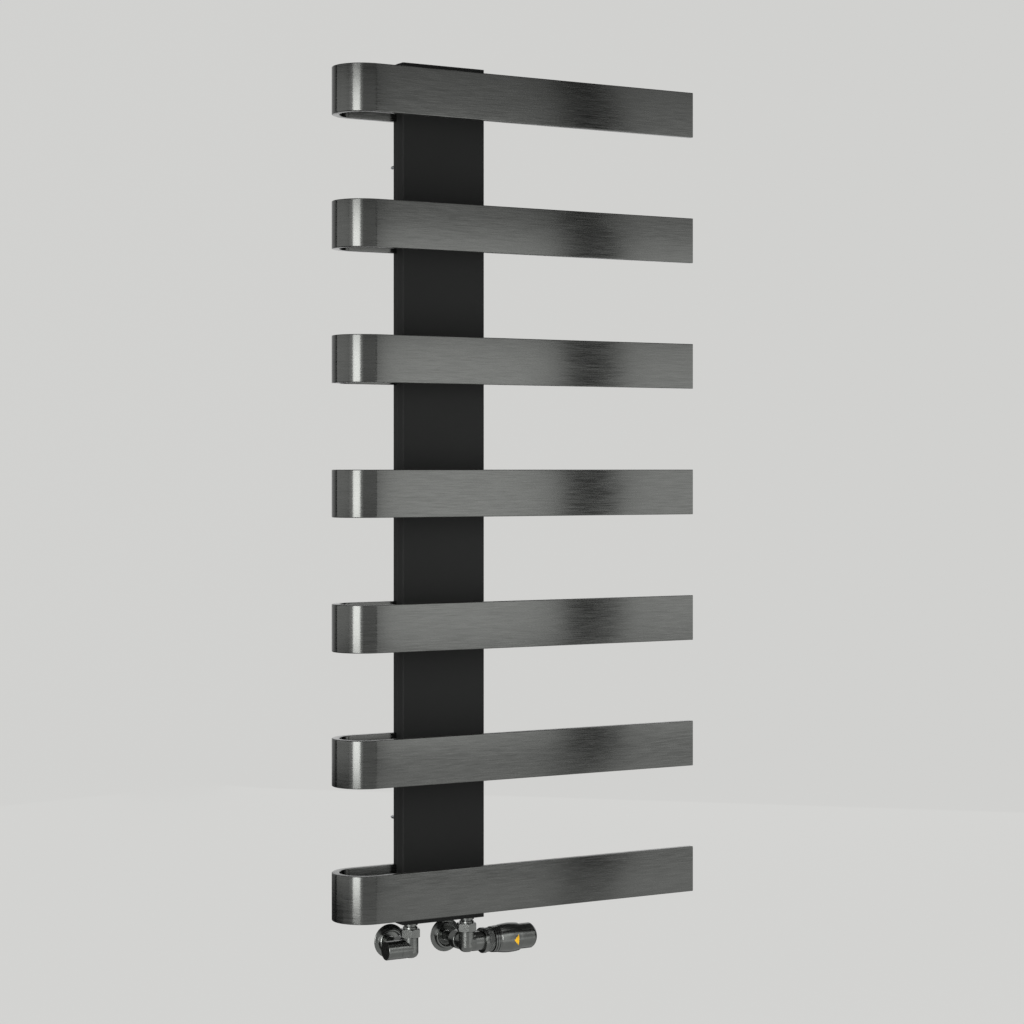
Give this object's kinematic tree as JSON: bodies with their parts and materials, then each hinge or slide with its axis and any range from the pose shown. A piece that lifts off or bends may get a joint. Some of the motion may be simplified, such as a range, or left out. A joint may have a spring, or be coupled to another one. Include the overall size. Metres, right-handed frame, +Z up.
{
  "type": "towel radiator",
  "caption": "Wall-hung hydronic towel radiator: J-shaped flat bars on one flat water column, with a lockshield and a thermostatic corner valve.",
  "frame": {"origin": "middle of the four wall fixings, on the wall's face; the column is centred on it in X and the stack of bars in Z", "axes": "+X to the free ends of the bars, +Y into the wall, +Z up"},
  "size_m": [0.6019, 0.185, 1.3507],
  "materials": {
    "brushed_gunmetal": "brushed along the bar, dark gunmetal plated",
    "column_black": "matt black powder coat",
    "plain_steel": "bare welded steel, out of sight",
    "bush_black": "satin black lacquer",
    "zinc_steel": "bright zinc plated",
    "gunmetal_plate": "satin gunmetal plate on brass",
    "brass": "turned brass",
    "seal_rubber": "moulded black rubber",
    "sensor_plastic": "moulded light plastic",
    "mark_yellow": "moulded yellow plastic"
  },
  "bodies": {
    "radiator": {"bar_1": "brushed_gunmetal", "bar_end_cap_1": "brushed_gunmetal", "bar_2": "brushed_gunmetal", "bar_end_cap_2": "brushed_gunmetal", "bar_3": "brushed_gunmetal", "bar_end_cap_3": "brushed_gunmetal", "bar_4": "brushed_gunmetal", "bar_end_cap_4": "brushed_gunmetal", "bar_5": "brushed_gunmetal", "bar_end_cap_5": "brushed_gunmetal", "bar_6": "brushed_gunmetal", "bar_end_cap_6": "brushed_gunmetal", "bar_7": "brushed_gunmetal", "bar_end_cap_7": "brushed_gunmetal", "column_front_shell": "column_black", "column_rear_shell": "column_black", "column_top_plate": "column_black", "column_bottom_plate": "column_black", "flow_divider": "plain_steel", "return_boss": "plain_steel", "supply_boss": "plain_steel", "vent_boss": "plain_steel", "bracket_pegs": "column_black", "vent_seal": "seal_rubber", "vent_plug": "gunmetal_plate", "wall_bush_top_left": "bush_black", "wall_bush_top_right": "bush_black", "wall_bush_bottom_left": "bush_black", "wall_bush_bottom_right": "bush_black", "wall_screws": "zinc_steel", "grub_screws": "zinc_steel", "return_tail_piece": "gunmetal_plate", "return_union_nut": "gunmetal_plate", "return_pipe_nut": "gunmetal_plate", "return_pipe": "gunmetal_plate", "return_rosette": "gunmetal_plate", "supply_tail_piece": "gunmetal_plate", "supply_union_nut": "gunmetal_plate", "supply_pipe_nut": "gunmetal_plate", "supply_pipe": "gunmetal_plate", "supply_rosette": "gunmetal_plate", "union_seals": "seal_rubber", "pipe_olives": "brass", "lockshield_body": "gunmetal_plate", "thermostatic_body": "gunmetal_plate", "thermostatic_insert": "brass", "head_collar_nut": "gunmetal_plate", "head_base": "gunmetal_plate"},
    "head": {"head_handle": "gunmetal_plate", "setting_mark": "mark_yellow"},
    "pin": {"valve_pin": "zinc_steel", "valve_washer": "seal_rubber", "sensor_capsule": "sensor_plastic"},
    "shield_cap": {"lockshield_cap": "gunmetal_plate"},
    "shield_spindle": {"lockshield_spindle": "brass"},
    "bleed": {"bleed_screw": "brass"}
  },
  "joints": [
    {"name": "head_turn", "type": "hinge", "parent": "radiator", "child": "head", "pos_m": [0.1215, -0.068, -0.683], "axis": [1, 0, 0], "range_deg": [0, 300]},
    {"name": "pin_slide", "type": "slide", "parent": "radiator", "child": "pin", "axis": [-1, 0, 0], "range_m": [0, 0.002]},
    {"name": "shield_cap_pull", "type": "slide", "parent": "radiator", "child": "shield_cap", "axis": [-1, 0, 0], "range_m": [0, 0.03]},
    {"name": "shield_spindle_turn", "type": "hinge", "parent": "radiator", "child": "shield_spindle", "pos_m": [-0.0685, -0.068, -0.683], "axis": [1, 0, 0], "range_deg": [0, 720]},
    {"name": "bleed_turn", "type": "hinge", "parent": "radiator", "child": "bleed", "pos_m": [0, -0.046, 0.608], "axis": [0, 1, 0], "range_deg": [0, 360]}
  ],
  "couplings": [
    {"joint": "pin_slide", "follows": "head_turn", "m_per_rad": 0.00038197}
  ]
}
